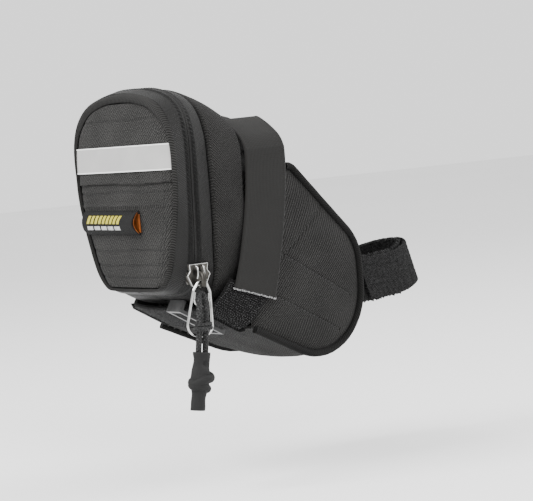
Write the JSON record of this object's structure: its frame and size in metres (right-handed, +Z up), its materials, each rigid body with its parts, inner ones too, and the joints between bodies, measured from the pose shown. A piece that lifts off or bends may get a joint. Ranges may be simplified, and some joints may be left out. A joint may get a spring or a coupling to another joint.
{
  "type": "bicycle saddle bag",
  "caption": "Wedge-shaped bicycle saddle bag with a zipped rear lid, saddle rail straps, a belly strap, a seatpost strap, a reflective strip and a corded zip pull.",
  "frame": {"origin": "centre of the seatpost strap's loop, on the seatpost's axis", "axes": "+X forward along the saddle rails, +Y to the rider's left, +Z up"},
  "size_m": [0.1483, 0.0857, 0.1281],
  "materials": {
    "woven_fabric": "matte woven polyester",
    "coated_fabric": "smooth matte coating",
    "foam_board": "closed-cell foam",
    "lining_fabric": "smooth lining",
    "piping_fabric": "matte bound edge",
    "zip_coil": "nylon coil",
    "strap_webbing": "smooth loop-faced strap",
    "hook_tape": "hook tape",
    "loop_tape": "brushed loop tape",
    "reflective_tape": "satin reflective",
    "label_fabric": "smooth satin tape",
    "orange_lining": "coated lining",
    "gunmetal": "dark plated zinc",
    "steel_wire": "polished wire",
    "braided_cord": "braided polyester",
    "rubber_grip": "soft matte rubber",
    "grey_plastic": "moulded acetal"
  },
  "bodies": {
    "bag": {"body_band": "coated_fabric", "body_zip_coil": "zip_coil", "box_gusset": "woven_fabric", "box_foam": "foam_board", "lid_hinge_tape": "lining_fabric", "side_panel_right": "woven_fabric", "side_panel_left": "woven_fabric", "side_foam_right": "foam_board", "side_foam_left": "foam_board", "side_lining_right": "lining_fabric", "side_lining_left": "lining_fabric", "front_gusset": "woven_fabric", "bottom_gusset": "woven_fabric", "top_panel": "woven_fabric", "top_front_panel": "woven_fabric", "waist_wall": "woven_fabric", "piping_right": "piping_fabric", "piping_left": "piping_fabric", "rail_loop_right": "strap_webbing", "rail_loop_left": "strap_webbing", "belly_strap": "hook_tape", "seatpost_strap": "loop_tape", "seatpost_strap_patch": "loop_tape"},
    "lid": {"rear_panel": "woven_fabric", "rear_panel_foam": "foam_board", "rear_panel_lining": "lining_fabric", "lid_piping": "piping_fabric", "lid_band": "coated_fabric", "lid_zip_coil": "zip_coil", "reflective_strip": "reflective_tape", "light_loop": "label_fabric", "light_loop_lining": "orange_lining"},
    "slider": {"zip_slider": "gunmetal", "slider_crown": "gunmetal"},
    "ring": {"pull_ring": "steel_wire", "pull_bail": "steel_wire"},
    "pull": {"pull_cord": "braided_cord", "cord_wrap": "braided_cord", "pull_grip": "rubber_grip"},
    "strap_right": {"saddle_strap_right": "strap_webbing"},
    "strap_left": {"saddle_strap_left": "strap_webbing"},
    "post_tail": {"seatpost_strap_tail": "loop_tape"},
    "strap_slide": {"belly_slide": "grey_plastic"}
  },
  "joints": [
    {"name": "lid_open", "type": "hinge", "parent": "bag", "child": "lid", "pos_m": [-0.115, 0, 0.003], "axis": [0, -1, 0], "range_deg": [0, 80]},
    {"name": "zip_slide", "type": "slide", "parent": "bag", "child": "slider", "axis": [0, -0.0761, 0.9971], "range_m": [0, 0.04]},
    {"name": "ring_flip", "type": "hinge", "parent": "slider", "child": "ring", "pos_m": [-0.115, -0.03789, 0.00862], "axis": [-0.9877, 0, 0.1564], "range_deg": [0, 150]},
    {"name": "cord_swing", "type": "hinge", "parent": "ring", "child": "pull", "pos_m": [-0.11644, -0.03789, -0.00049], "axis": [-0.9877, 0, 0.1564], "range_deg": [0, 28]},
    {"name": "strap_right_peel", "type": "hinge", "parent": "bag", "child": "strap_right", "pos_m": [-0.0804, -0.0389, 0.057], "axis": [-1, 0, 0], "range_deg": [0, 85]},
    {"name": "strap_left_peel", "type": "hinge", "parent": "bag", "child": "strap_left", "pos_m": [-0.0804, 0.0389, 0.057], "axis": [1, 0, 0], "range_deg": [0, 85]},
    {"name": "post_tail_peel", "type": "hinge", "parent": "bag", "child": "post_tail", "pos_m": [0.01525, -0.00339, 0.00466], "axis": [-0.2924, 0, 0.9563], "range_deg": [0, 100]},
    {"name": "slide_adjust", "type": "slide", "parent": "bag", "child": "strap_slide", "axis": [0, 1, 0], "range_m": [0, 0.012]}
  ]
}
